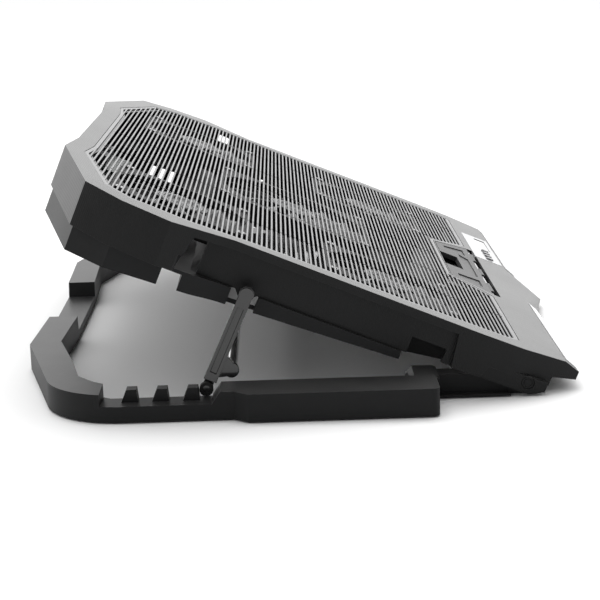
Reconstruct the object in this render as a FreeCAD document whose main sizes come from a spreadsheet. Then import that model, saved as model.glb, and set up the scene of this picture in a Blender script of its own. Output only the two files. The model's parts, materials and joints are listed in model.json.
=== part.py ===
import FreeCAD, Part
import math
import os
import Sketcher

# Laptop cooling pad: a tilting deck with five fans on a U-shaped base.
# X runs across, +Y to the raised back edge, +Z up. The deck's own frame has its
# origin on the hinge axis, Y along the deck and Z square to its top face.

V = FreeCAD.Vector
doc = FreeCAD.newDocument("CoolingPad")
sheet = doc.addObject("Spreadsheet::Sheet", "Sizes")
row_count = 0


class Size:
    # A number together with the spreadsheet expression that gives it.
    def __init__(self, value, text):
        self.value = float(value)
        self.text = text

    def __add__(self, other):
        other = as_size(other)
        return Size(self.value + other.value, f"({self.text} + {other.text})")

    def __sub__(self, other):
        other = as_size(other)
        return Size(self.value - other.value, f"({self.text} - {other.text})")

    def __mul__(self, other):
        other = as_size(other)
        return Size(self.value * other.value, f"({self.text} * {other.text})")

    def __truediv__(self, other):
        other = as_size(other)
        return Size(self.value / other.value, f"({self.text} / {other.text})")

    def __neg__(self):
        return Size(-self.value, f"(-1 * {self.text})")

    def __radd__(self, other):
        return as_size(other) + self

    def __rsub__(self, other):
        return as_size(other) - self

    def __rmul__(self, other):
        return as_size(other) * self


def as_size(number):
    if isinstance(number, Size):
        return number
    return Size(number, repr(float(number)))


def cosine(angle):
    return Size(math.cos(math.radians(angle.value)), f"cos({angle.text} * 1 deg)")


def sine(angle):
    return Size(math.sin(math.radians(angle.value)), f"sin({angle.text} * 1 deg)")


def root(number):
    return Size(math.sqrt(number.value), f"sqrt({number.text})")


def slope_angle(rise, run):
    value = math.degrees(math.atan(rise.value / run.value))
    return Size(value, f"(atan({rise.text} / {run.text}) / 1 deg)")


def driving(name, number):
    global row_count
    row_count += 1
    sheet.set(f"A{row_count}", name)
    sheet.set(f"B{row_count}", str(number))
    sheet.setAlias(f"B{row_count}", name)
    return Size(number, f"Sizes.{name}")


# ---- Driving dimensions -------------------------------------------------------

# hinge and tilt
rest_tilt = driving("rest_tilt", 22.9)
fold_tilt = driving("fold_tilt", 7.5)
pin_height = driving("pin_height", 6.5)
pin_radius = driving("pin_radius", 2.5)
pin_head_radius = driving("pin_head_radius", 3.1)
pin_head_depth = driving("pin_head_depth", 1.5)
running_clearance = driving("running_clearance", 0.06)
body_gap = driving("body_gap", 0.8)

# deck outline, half widths and distances from the hinge axis
deck_top = driving("deck_top", 14.3)
side_half = driving("side_half", 178.0)
wing_out = driving("wing_out", 12.0)
nose_in = driving("nose_in", 12.0)
front_reach = driving("front_reach", 23.0)
prow_rise = driving("prow_rise", 9.0)
prow_half = driving("prow_half", 42.0)
deck_back = driving("deck_back", 241.5)
horn_half = driving("horn_half", 99.5)
bay_half = driving("bay_half", 64.0)
bay_depth = driving("bay_depth", 2.7)
corner_in = driving("corner_in", 7.0)
corner_drop = driving("corner_drop", 19.0)
wing_drop = driving("wing_drop", 37.5)
wing_low = driving("wing_low", 61.5)
wing_start = driving("wing_start", 91.5)
wall = driving("wall", 2.4)
top_skin = driving("top_skin", 2.2)
shell_depth = driving("shell_depth", 21.3)
side_wall = driving("side_wall", 5.8)
nose_drop = driving("nose_drop", 3.0)
nose_run = driving("nose_run", 8.5)
lip_height = driving("lip_height", 9.0)
wedge_front = driving("wedge_front", 10.4)
wedge_back = driving("wedge_back", 20.3)
keel_start = driving("keel_start", 55.0)

# side recess of the deck
recess_depth = driving("recess_depth", 3.0)
recess_front = driving("recess_front", 36.0)
recess_length = driving("recess_length", 136.0)

# mesh panel
mesh_thick = driving("mesh_thick", 1.0)
mesh_pitch = driving("mesh_pitch", 2.45)
mesh_bar = driving("mesh_bar", 1.1)
mesh_front = driving("mesh_front", 8.0)
mesh_in = driving("mesh_in", 11.0)
mesh_margin = driving("mesh_margin", 10.0)
mesh_border = driving("mesh_border", 2.4)
ledge = driving("ledge", 3.6)
panel_clearance = driving("panel_clearance", 0.15)

# laptop stop
stop_back_half = driving("stop_back_half", 46.0)
stop_front_half = driving("stop_front_half", 61.5)
stop_front = driving("stop_front", 7.4)
stop_length = driving("stop_length", 21.8)
stop_thick = driving("stop_thick", 2.6)
stop_pin_radius = driving("stop_pin_radius", 1.0)
stop_axis = driving("stop_axis", 5.5)
post_radius = driving("post_radius", 3.4)
screw_head = driving("screw_head", 2.8)
screw_radius = driving("screw_radius", 1.25)
finger_half = driving("finger_half", 17.0)
finger_depth = driving("finger_depth", 9.0)

# control panel
bezel_centre = driving("bezel_centre", 85.5)
bezel_width = driving("bezel_width", 77.0)
bezel_front = driving("bezel_front", 14.0)
bezel_depth = driving("bezel_depth", 17.2)
bezel_thick = driving("bezel_thick", 1.6)
lcd_width = driving("lcd_width", 34.0)
lcd_depth = driving("lcd_depth", 7.0)
button_radius = driving("button_radius", 2.3)
button_pitch = driving("button_pitch", 8.0)
button_travel = driving("button_travel", 0.6)

# fans
small_fan = driving("small_fan", 70.0)
large_fan = driving("large_fan", 88.0)
fan_thick = driving("fan_thick", 10.0)
fan_top_gap = driving("fan_top_gap", 1.2)
fan_offset = driving("fan_offset", 108.0)
front_fan_row = driving("front_fan_row", 68.0)
middle_fan_row = driving("middle_fan_row", 118.0)
back_fan_row = driving("back_fan_row", 178.0)
fan_screw_radius = driving("fan_screw_radius", 1.3)
fan_screw_bite = driving("fan_screw_bite", 4.0)
blade_clearance = driving("blade_clearance", 1.2)
hub_radius = driving("hub_radius", 14.0)

# prop
pivot_back = driving("pivot_back", 104.5)
arm_run = driving("arm_run", 19.86)
pivot_drop = driving("pivot_drop", 5.5)
prop_pin_radius = driving("prop_pin_radius", 1.9)
arm_gap = driving("arm_gap", 3.4)
arm_thick = driving("arm_thick", 4.6)
arm_width = driving("arm_width", 6.2)
foot_radius = driving("foot_radius", 3.2)
foot_core = driving("foot_core", 1.8)
crossbar_radius = driving("crossbar_radius", 2.5)
crossbar_up = driving("crossbar_up", 12.0)
crossbar_aside = driving("crossbar_aside", 7.4)

# base
rail_height = driving("rail_height", 13.5)
foot_proud = driving("foot_proud", 0.6)
rail_gap = driving("rail_gap", 4.0)
rail_width = driving("rail_width", 23.0)
waist_step = driving("waist_step", 5.5)
rail_front = driving("rail_front", 43.3)
step_ahead = driving("step_ahead", 19.2)
base_short = driving("base_short", 1.0)
base_horn_half = driving("base_horn_half", 102.0)
rear_rail = driving("rear_rail", 15.2)
base_corner_drop = driving("base_corner_drop", 25.0)
corner_radius = driving("corner_radius", 38.0)
grip_half = driving("grip_half", 43.0)
grip_floor = driving("grip_floor", 5.3)
bumper_radius = driving("bumper_radius", 5.0)
tongue_front = driving("tongue_front", 6.3)
tongue_height = driving("tongue_height", 10.4)
hump_height = driving("hump_height", 12.4)
tongue_width = driving("tongue_width", 10.4)
lug_clearance = driving("lug_clearance", 0.6)
slot_pitch = driving("slot_pitch", 13.9)
slot_floor = driving("slot_floor", 8.0)
slot_room = driving("slot_room", 6.0)
ledge_drop = driving("ledge_drop", 1.0)
tooth_thick = driving("tooth_thick", 6.0)

doc.recompute()

# ---- Derived places -----------------------------------------------------------

wing_half = side_half + wing_out
nose_half = side_half - nose_in
corner_half = side_half - corner_in
mesh_half = side_half - mesh_in
rail_inner = side_half + rail_gap
rail_outer = rail_inner + rail_width
rail_waist = rail_outer - waist_step
base_back = deck_back - base_short

split = deck_top - shell_depth
floor_thick = as_size(2.2)
block_half = stop_front_half + 5
stop_height = deck_top - 2.2
nose_reach = front_reach + prow_rise
nose_edge = deck_top - nose_drop
frame_shift = (nose_reach * cosine(rest_tilt) + nose_edge * sine(rest_tilt) - base_back) / 2

inner_half = side_half - side_wall
inner_top = deck_top - top_skin
lug_inner = inner_half
tongue_outer = lug_inner - lug_clearance
tongue_inner = tongue_outer - tongue_width
mesh_back = deck_back - mesh_margin
mesh_floor = deck_top - mesh_thick - 0.1
fan_top = inner_top - fan_top_gap
fan_floor = fan_top - fan_thick

arm_inner = side_half + arm_gap
arm_outer = arm_inner + arm_thick
foot_height = slot_floor + foot_radius
pivot_reach = deck_back - pivot_back
pivot_y = pivot_reach * cosine(rest_tilt) + pivot_drop * sine(rest_tilt)
pivot_z = pin_height + pivot_reach * sine(rest_tilt) - pivot_drop * cosine(rest_tilt)
slot_first = pivot_y + arm_run
rail_step = slot_first - step_ahead
arm_fall = pivot_z - foot_height
arm_length = root(arm_run * arm_run + arm_fall * arm_fall)
arm_lean = slope_angle(arm_fall, arm_run)


def keel(reach):
    # height of the lower shell's sloping underside at a distance from the hinge
    rate = (wedge_back - wedge_front) / (deck_back - keel_start)
    return -(wedge_front + (reach - keel_start) * rate)


# ---- Helpers ------------------------------------------------------------------

SHAPES = []


def place(item, frame):
    # frame is "base", "deck" or "prop"
    item.setExpression("Placement.Base.y", frame_shift.text)
    if frame == "base":
        return
    item.Placement = FreeCAD.Placement(V(), FreeCAD.Rotation(V(1, 0, 0), 10))
    if frame == "deck":
        item.setExpression("Placement.Base.z", pin_height.text)
        item.setExpression("Placement.Rotation.Angle", rest_tilt.text)
    else:
        item.Placement = FreeCAD.Placement(V(), FreeCAD.Rotation(V(-1, 0, 0), 10))
        item.setExpression("Placement.Base.y", (frame_shift + pivot_y).text)
        item.setExpression("Placement.Base.z", pivot_z.text)
        item.setExpression("Placement.Rotation.Angle", arm_lean.text)


def new_body(label, frame):
    body = doc.addObject("PartDesign::Body", label + "_body")
    body.Label = label
    place(body, frame)
    SHAPES.append(body)
    return body


def new_sketch(body, plane, offset=0):
    # plane "XY": offset is a height; plane "YZ": offset is an X position
    offset = as_size(offset)
    sketch = body.newObject("Sketcher::SketchObject", "Sketch")
    origin_plane = [item for item in body.Origin.OriginFeatures if item.Role == plane + "_Plane"][0]
    sketch.AttachmentSupport = [(origin_plane, "")]
    sketch.MapMode = "FlatFace"
    sketch.AttachmentOffset = FreeCAD.Placement(V(0, 0, offset.value), FreeCAD.Rotation())
    sketch.setExpression("AttachmentOffset.Base.z", offset.text)
    return sketch


def pin_point(sketch, kind, index, point, number):
    constraint = Sketcher.Constraint(kind, -1, 1, index, point, number.value)
    sketch.setExpression(f"Constraints[{sketch.addConstraint(constraint)}]", number.text)


def add_loop(sketch, points):
    points = [(as_size(a), as_size(b)) for a, b in points]
    first = sketch.GeometryCount
    count = len(points)
    for index in range(count):
        start = points[index]
        end = points[(index + 1) % count]
        line = Part.LineSegment(V(start[0].value, start[1].value, 0), V(end[0].value, end[1].value, 0))
        sketch.addGeometry(line, False)
    for index in range(count):
        following = first + (index + 1) % count
        sketch.addConstraint(Sketcher.Constraint("Coincident", first + index, 2, following, 1))
    for index in range(count):
        pin_point(sketch, "DistanceX", first + index, 1, points[index][0])
        pin_point(sketch, "DistanceY", first + index, 1, points[index][1])


def add_circle(sketch, centre, radius):
    across, along, radius = as_size(centre[0]), as_size(centre[1]), as_size(radius)
    circle = Part.Circle(V(across.value, along.value, 0), V(0, 0, 1), radius.value)
    index = sketch.addGeometry(circle, False)
    pin_point(sketch, "DistanceX", index, 3, across)
    pin_point(sketch, "DistanceY", index, 3, along)
    constraint = sketch.addConstraint(Sketcher.Constraint("Radius", index, radius.value))
    sketch.setExpression(f"Constraints[{constraint}]", radius.text)


def rectangle(left, right, low, high):
    return [(left, low), (right, low), (right, high), (left, high)]


def both_sides(points):
    # a symmetric closed outline from its right half, listed front to back
    mirrored = [(-as_size(a), b) for a, b in reversed(points) if as_size(a).value != 0]
    return points + mirrored


def mirrored(points):
    return [(-as_size(a), b) for a, b in points]


def feature(body, kind, sketch, length, reverse=False, symmetric=False):
    item = body.newObject("PartDesign::" + kind, kind)
    item.Profile = sketch
    item.SideType = "Symmetric" if symmetric else "One side"
    item.Reversed = reverse
    length = as_size(length)
    item.Length = length.value
    item.setExpression("Length", length.text)
    return item


def pad(body, plane, offset, loops, length, reverse=False, symmetric=False, circles=()):
    sketch = new_sketch(body, plane, offset)
    for points in loops:
        add_loop(sketch, points)
    for centre, radius in circles:
        add_circle(sketch, centre, radius)
    return feature(body, "Pad", sketch, length, reverse, symmetric)


def cut(body, plane, offset, loops, length, up=False, symmetric=False, circles=()):
    # removes material below the sketch plane, or above it when up is set
    doc.recompute()
    before = body.Shape.Volume
    sketch = new_sketch(body, plane, offset)
    for points in loops:
        add_loop(sketch, points)
    for centre, radius in circles:
        add_circle(sketch, centre, radius)
    item = feature(body, "Pocket", sketch, length, up, symmetric)
    doc.recompute()
    if body.Shape.Volume >= before - 1e-3:
        raise RuntimeError(f"a cut in {body.Label} removes nothing")
    return item


def side_pads(body, profile, near, far):
    # the same YZ profile on both sides, between two distances from the middle
    pad(body, "YZ", near, [profile], far - near)
    pad(body, "YZ", -near, [profile], far - near, reverse=True)


def side_cuts(body, profile, near, far):
    cut(body, "YZ", near, [profile], far - near, up=True)
    cut(body, "YZ", -near, [profile], far - near)


def edges_at(body, points, vertical=False):
    # names of the edges of a body's tip that pass through the given local points
    doc.recompute()
    shape = body.Tip.Shape
    names = []
    for number, edge in enumerate(shape.Edges, 1):
        for point in points:
            near = edge.distToShape(Part.Vertex(point))[0] < 0.05
            level = abs(edge.tangentAt(edge.FirstParameter).z) > 0.9
            if near and level == vertical:
                names.append(f"Edge{number}")
                break
    return names


def dress(body, kind, names):
    tip = body.Tip
    item = body.newObject("PartDesign::" + kind, kind)
    item.Base = (tip, names)
    return item


def round_edges(body, points, radius, vertical=False):
    item = dress(body, "Fillet", edges_at(body, points, vertical))
    radius = as_size(radius)
    item.Radius = radius.value
    item.setExpression("Radius", radius.text)


# ---- Deck: upper shell --------------------------------------------------------

deck_outline = both_sides([
    (as_size(0), -nose_reach),
    (prow_half, -front_reach),
    (nose_half, -front_reach),
    (side_half - 1.5, as_size(8)),
    (side_half, as_size(30)),
    (side_half, deck_back - wing_start),
    (wing_half, deck_back - wing_low),
    (corner_half + 13, deck_back - wing_drop),
    (corner_half, deck_back - corner_drop),
    (horn_half, deck_back),
    (bay_half, deck_back - bay_depth),
])

mesh_outline = [
    (mesh_half - 7, mesh_front),
    (mesh_half - 3, mesh_front + 6),
    (mesh_half, mesh_front + 44),
    (mesh_half + 1, deck_back - 112),
    (mesh_half + 2, deck_back - 99),
    (mesh_half + 7, deck_back - 70),
    (mesh_half + 4, deck_back - 40),
    (mesh_half - 7, deck_back - 27),
    (horn_half - 2.5, mesh_back),
    (bay_half + 8, mesh_back - 2.2),
]
mesh_notch = [(stop_back_half + 2, stop_front + stop_length + 1.2), (stop_front_half + 6.5, mesh_front)]


def grown(points, amount):
    # moves each point of the right half outline outward by about an amount
    first, last = points[0], points[-1]
    moved = []
    for across, along in points:
        lift = amount if along.value > (first[1].value + last[1].value) / 2 else -1 * amount
        moved.append((across + amount, along + lift))
    return moved


def mesh_loop(amount):
    right = grown(mesh_outline, amount)
    notch = [(mesh_notch[0][0] - amount, mesh_notch[0][1] - amount),
             (mesh_notch[1][0] - amount, mesh_notch[1][1] - amount)]
    return both_sides(notch + right)


def upper_shell():
    body = new_body("upper_shell", "deck")
    pad(body, "XY", split, [deck_outline], shell_depth)

    # broad slanting nose
    edge_points = []
    for sign in (1, -1):
        beside_prow = 0.5 * (nose_half.value + prow_half.value) * sign
        edge_points.append(V(beside_prow, -front_reach.value, deck_top.value))
        on_prow = -front_reach.value - 0.5 * prow_rise.value
        edge_points.append(V(0.5 * prow_half.value * sign, on_prow, deck_top.value))
    names = edges_at(body, edge_points)
    item = dress(body, "Chamfer", names)
    item.ChamferType = "Two distances"
    item.Size = nose_drop.value
    item.Size2 = nose_run.value
    item.setExpression("Size", nose_drop.text)
    item.setExpression("Size2", nose_run.text)

    # shallow seats of the trim strips
    side_cuts(body, trim_strip(nose_drop + 2), prow_half + 3, nose_half - 4)

    # hollow from below, the front step, the lip and the cut-outs over the base
    cavity = both_sides([
        (nose_half - 6, as_size(-12.5)),
        (nose_half, -tongue_front - 2.7),
        (inner_half, as_size(2)),
        (inner_half, deck_back - wing_start + 1),
        (wing_half - 10, deck_back - wing_low),
        (wing_half - 10, deck_back - wing_drop - 4),
        (corner_half - 2.4, deck_back - corner_drop - wall),
        (horn_half - 1, deck_back - wall),
        (bay_half + 0.5, deck_back - bay_depth - wall),
    ])
    cut(body, "XY", inner_top, [cavity], shell_depth)
    lip_bottom = deck_top - lip_height
    hump_room = (rail_front - 2.3, rail_front + 14.7)
    hump_clear = ((hump_height - pin_height) * cosine(fold_tilt)
                  - (rail_front - 1.8) * sine(fold_tilt) + 0.6)
    front_step = [(as_size(-60), lip_bottom + 8), (as_size(-11), lip_bottom), (as_size(-11), as_size(0.8)),
                  (as_size(20), as_size(0.8)), (as_size(22), as_size(-5.3)), (hump_room[0], as_size(-5.8)),
                  (hump_room[0], hump_clear), (hump_room[1], hump_clear), (hump_room[1], split - 1),
                  (as_size(-60), split - 1)]
    cut(body, "YZ", 0, [front_step], 4 * wing_half, symmetric=True)

    # hinge lugs
    lug = [(as_size(-9), as_size(-1.5)), (as_size(-2), as_size(-5)), (as_size(20), as_size(-5.4)),
           (as_size(23), as_size(-4)), (as_size(23), as_size(2)), (as_size(-9), as_size(3))]
    side_pads(body, lug, lug_inner, side_half - 1.5)
    bore = pin_radius + running_clearance
    for sign in (1, -1):
        cut(body, "YZ", sign * (lug_inner - 5), [], side_wall + 8, up=sign > 0,
            circles=[((as_size(0), as_size(0)), bore)])
        head_seat = side_half - 1.5 - pin_head_depth - 0.2
        cut(body, "YZ", sign * head_seat, [], side_wall + 4, up=sign > 0,
            circles=[((as_size(0), as_size(0)), pin_head_radius + running_clearance)])

    # pivot tabs of the prop, reaching below the joint line
    tab = [(pivot_reach - 6, split + 1), (pivot_reach - 3, -pivot_drop - 4.2),
           (pivot_reach + 3, -pivot_drop - 4.2), (pivot_reach + 6, split + 1)]
    side_pads(body, tab, inner_half, side_half - recess_depth)

    # seat of the mesh panel
    cut(body, "XY", deck_top + 1, [mesh_loop(panel_clearance)], mesh_thick + 1.1)
    cut(body, "XY", deck_top + 1, [mesh_loop(-ledge)], top_skin + 2)

    # block under the laptop stop, its pocket, hinge trough and finger hole
    block = rectangle(-block_half, block_half, stop_axis - 5.5, stop_front + stop_length + 3)
    pad(body, "XY", inner_top + 0.5, [block], 4.1, reverse=True)
    stop_room = both_sides([
        (stop_front_half + 0.6, stop_axis - 2.6),
        (stop_front_half + 0.6, stop_front),
        (stop_back_half + 0.6, stop_front + stop_length + 0.5),
    ])
    cut(body, "XY", stop_height - stop_pin_radius - 1.1, [stop_room], 8, up=True)
    hole_back = stop_front + stop_length - 1.5
    hole = rectangle(-finger_half, finger_half, hole_back - finger_depth, hole_back)
    cut(body, "XY", deck_top + 1, [hole], 14)

    cut(body, "YZ", 0, [], 2 * stop_front_half + 3, symmetric=True,
        circles=[((stop_axis, stop_height), stop_pin_radius)])

    # seat of the control panel, with holes for its buttons
    seat = rectangle(bezel_centre - bezel_width / 2 - panel_clearance,
                     bezel_centre + bezel_width / 2 + panel_clearance,
                     -bezel_front - panel_clearance, bezel_depth - bezel_front + panel_clearance)
    cut(body, "XY", deck_top + 1, [seat], bezel_thick + 0.9)
    holes = [(centre, button_radius + 0.25) for centre in button_places()]
    cut(body, "XY", deck_top + 1, [], 5, circles=holes)

    # side recess, deeper than the wings before and behind it
    high = deck_top - 4
    recess = [(recess_front, split - 1), (recess_front + 3, high), (recess_front + recess_length - 4, high),
              (recess_front + recess_length, split - 1)]
    side_cuts(body, recess, side_half - recess_depth, wing_half + 5)

    # room for the folded prop arms
    room_end = pivot_reach + arm_length + foot_radius + body_gap
    arm_room = [(pivot_reach - 6, split - 1), (pivot_reach - 6, as_size(0.8)),
                (room_end, as_size(0.8)), (room_end, split - 1)]
    side_cuts(body, arm_room, arm_inner - body_gap, arm_outer + body_gap)
    for sign in (1, -1):
        cut(body, "YZ", sign * (inner_half - 1), [], side_wall + 4, up=sign > 0,
            circles=[((pivot_reach, -pivot_drop), prop_pin_radius)])

    # sockets in the back wall
    for centre in usb_places():
        window = rectangle(centre - 7.2, centre + 7.2, as_size(-3.4), as_size(3.4))
        sketch = new_sketch(body, "XZ", -(deck_back + 1))
        add_loop(sketch, window)
        feature(body, "Pocket", sketch, 8, reverse=True)
        doc.recompute()

    # screw posts that hang from the top skin nearly to the lower shell's floor
    for centre in post_places():
        low = screw_level(centre) + floor_thick + 1.2
        pad(body, "XY", low, [], inner_top + 0.5 - low,
            circles=[(centre, post_radius), (centre, screw_radius)])


def button_places():
    first = bezel_centre - bezel_width / 2 + 8
    return [(first + button_pitch * index, as_size(-7)) for index in range(4)]


def usb_places():
    return [as_size(-13), as_size(13)]


def post_places():
    places = []
    for sign in (1, -1):
        places += [(as_size(sign * 146), as_size(1)), (sign * (inner_half - 6), as_size(112)),
                   (sign * (corner_half - 10), deck_back - 34), (as_size(sign * 56), deck_back - 12)]
    return places


# ---- Deck: lower shell --------------------------------------------------------

SMALL_FANS = [(1, "front"), (-1, "front"), (1, "back"), (-1, "back")]


def fan_places():
    # label, middle across, middle along, width
    rows = {"front": front_fan_row, "back": back_fan_row}
    places = []
    for sign, row in SMALL_FANS:
        side = "right" if sign > 0 else "left"
        places.append((f"{row}_{side}", sign * fan_offset, rows[row], small_fan))
    places.append(("middle", as_size(0), middle_fan_row, large_fan))
    return places


def fan_corners(across, along, width):
    inset = width / 2 - 4
    return [(across + inset * a, along + inset * b) for a in (-1, 1) for b in (-1, 1)]


def lower_shell():
    body = new_body("lower_shell", "deck")
    narrow = tongue_inner - lug_clearance - 3
    shoulder = as_size(60)
    back = deck_back - 3
    underside = [(back + 4, keel(back + 4)), (keel_start, keel(keel_start)), (as_size(20), as_size(-5.3)),
                 (as_size(-8), as_size(0.8)), (as_size(-10.8), as_size(2.2))]
    hull = underside + [(as_size(-10.8), as_size(5)), (shoulder, as_size(5)), (shoulder, split),
                        (back + 4, split)]
    pad(body, "YZ", 0, [hull], 2 * side_half + 6, symmetric=True)

    # plan outline, cut away all round
    outline = both_sides([
        (narrow, as_size(-10.8)),
        (narrow, shoulder + 0.5),
        (side_half - 0.4, shoulder + 0.5),
        (side_half - 0.4, deck_back - wing_start),
        (rail_inner - 1.2, deck_back - wing_start + 12),
        (rail_inner - 1.2, deck_back - wing_drop - 2),
        (corner_half - 1.5, deck_back - corner_drop - 1.5),
        (horn_half - 0.5, deck_back - 1.5),
        (bay_half - 0.5, deck_back - bay_depth - 1.5),
    ])
    far = 2 * wing_half
    cut(body, "XY", 40, [rectangle(-far, far, -100, 2 * deck_back), outline], 100)

    # inside, in two bays on each side of the channel that takes the prop's crossbar
    channel = pivot_reach + arm_length - crossbar_up
    bar_front = channel - 5.8
    bar_back = channel + 3.8
    floor = floor_thick
    mid_back = deck_back - 30
    front_bay = [(shoulder + 2, keel(shoulder + 2) + floor),
                 (bar_front - 3, keel(bar_front - 3) + floor),
                 (bar_front - 3, as_size(9)), (shoulder + 2, as_size(9))]
    cut(body, "YZ", 0, [front_bay], 2 * inner_half, symmetric=True)
    back_bay = [(bar_back + 3, keel(bar_back + 3) + floor), (mid_back, keel(mid_back) + floor),
                (mid_back, as_size(9)), (bar_back + 3, as_size(9))]
    cut(body, "YZ", 0, [back_bay], 2 * (corner_half - 5), symmetric=True)
    rear_bay = [(mid_back - 1, keel(mid_back) + floor), (deck_back - 8, keel(deck_back - 8) + floor),
                (deck_back - 8, as_size(9)), (mid_back - 1, as_size(9))]
    cut(body, "YZ", 0, [rear_bay], 2 * (horn_half - 3), symmetric=True)
    nose_bay = [(as_size(-8.8), as_size(3.2)), (as_size(20), as_size(-5.3) + floor),
                (keel_start, keel(keel_start) + floor), (shoulder + 3, keel(shoulder + 3) + floor),
                (shoulder + 3, as_size(9)), (as_size(-8.8), as_size(9))]
    cut(body, "YZ", 0, [nose_bay], 2 * (narrow - 2.4), symmetric=True)

    # fan posts, then everything that reaches below the underside comes off
    sketch = new_sketch(body, "XY", fan_floor)
    for label, across, along, width in fan_places():
        for corner in fan_corners(across, along, width):
            add_circle(sketch, corner, fan_screw_radius + 1.7)
    feature(body, "Pad", sketch, 24, reverse=True)
    below = underside + [(as_size(-10.8), as_size(-60)), (back + 4, as_size(-60))]
    cut(body, "YZ", 0, [below], 2 * wing_half, symmetric=True)

    corners = [corner for label, across, along, width in fan_places()
               for corner in fan_corners(across, along, width)]
    cut(body, "XY", fan_floor, [], fan_screw_bite, circles=[(corner, fan_screw_radius) for corner in corners])

    # crossbar channel, prop notches and cooling slots
    roof = -(pivot_drop + crossbar_aside - 4.2)
    bar_channel = [(bar_front, roof), (bar_back, roof), (bar_back, as_size(-40)), (bar_front, as_size(-40))]
    cut(body, "YZ", 0, [bar_channel], 2 * wing_half, symmetric=True)
    notch = [(pivot_reach - 6.5, split + 1), (pivot_reach - 5, as_size(-40)),
             (pivot_reach + 7, as_size(-40)), (pivot_reach + 7, split + 1)]
    side_cuts(body, notch, inner_half - 0.6, wing_half)
    slot_rows(body, [fan_offset, -fan_offset], front_fan_row, small_fan - 14, 9)
    slot_rows(body, [as_size(0)], middle_fan_row - 4, large_fan - 16, 9)
    slot_rows(body, [fan_offset, -fan_offset], back_fan_row + 16, small_fan - 14, 3)
    screw_holes(body)


def slot_rows(body, middles, row, width, count):
    # a bank of cooling slots through the floor, centred on a row
    pitch = 6.2
    first = row - pitch * (count - 1) / 2
    loops = [rectangle(across - width / 2, across + width / 2, first - 1.4, first + 1.4)
             for across in middles]
    slots = cut(body, "XY", fan_floor - 1, loops, 40)
    pattern = body.newObject("PartDesign::LinearPattern", "Slots")
    pattern.Originals = [slots]
    pattern.Direction = (slots.Profile[0], ["V_Axis"])
    pattern.Length = pitch * (count - 1)
    pattern.Occurrences = count
    body.Tip = pattern
    doc.recompute()


def screw_holes(body):
    for centre in post_places():
        low = screw_level(centre)
        cut(body, "XY", low + 12, [], 40, circles=[(centre, screw_radius + 0.35)])
        cut(body, "XY", low + 1.4, [], 10, circles=[(centre, screw_head + 0.3)])


def screw_level(centre):
    # height of the underside at a screw
    if centre[1].value < 20:
        return 0.8 - (centre[1] + 8) * (6.1 / 28)
    return keel(centre[1])


# ---- Deck: mesh panel ---------------------------------------------------------

def mesh_panel():
    body = new_body("mesh_panel", "deck")
    pad(body, "XY", mesh_floor, [mesh_loop(as_size(0)), mesh_loop(-mesh_border)], mesh_thick)
    span = mesh_half + 8
    first = mesh_front + mesh_pitch
    pad(body, "XY", mesh_floor + 0.25, [rectangle(-span, span, first, first + mesh_bar)],
        mesh_thick - 0.25)
    bars = body.Tip
    pattern = body.newObject("PartDesign::LinearPattern", "Bars")
    pattern.Originals = [bars]
    pattern.Direction = (bars.Profile[0], ["V_Axis"])
    count = int((mesh_back.value - mesh_front.value) / mesh_pitch.value) - 1
    pattern.Length = mesh_pitch.value * (count - 1)
    pattern.Occurrences = count
    body.Tip = pattern
    ribs = []
    for across in (-115, -58, 0, 58, 115):
        start = mesh_notch[0][1] - 1.5 if abs(across) < mesh_notch[0][0].value else mesh_front + 0.5
        ribs.append(rectangle(as_size(across - 0.8), as_size(across + 0.8), start, mesh_back - 2.6))
    pad(body, "XY", mesh_floor, ribs, mesh_thick / 2)
    far = 2 * wing_half
    cut(body, "XY", deck_top + 5, [rectangle(-far, far, -50, 2 * deck_back), mesh_loop(as_size(0))], 20)


# ---- Deck: fans ---------------------------------------------------------------

def fan_frame(label, across, along, width):
    body = new_body("fan_frame_" + label, "deck")
    half = width / 2
    corner = 5
    square = [(across - half, along - half + corner), (across - half + corner, along - half),
              (across + half - corner, along - half), (across + half, along - half + corner),
              (across + half, along + half - corner), (across + half - corner, along + half),
              (across - half + corner, along + half), (across - half, along + half - corner)]
    bore = half - 2
    pad(body, "XY", fan_floor, [square], fan_thick)
    cut(body, "XY", fan_floor + fan_thick + 1, [], 30, circles=[((across, along), bore)])
    strut = [rectangle(across - half + 1, across + half - 1, along - 1.5, along + 1.5)]
    pad(body, "XY", fan_floor, strut, 1.5)
    upright = [rectangle(across - 1.5, across + 1.5, along - half + 1, along + half - 1)]
    pad(body, "XY", fan_floor, upright, 1.5)
    pad(body, "XY", fan_floor, [], 2, circles=[((across, along), hub_radius - 1)])
    cut(body, "XY", fan_floor + fan_thick + 1, [], 30,
        circles=[(centre, fan_screw_radius + 0.2) for centre in fan_corners(across, along, width)])


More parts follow.
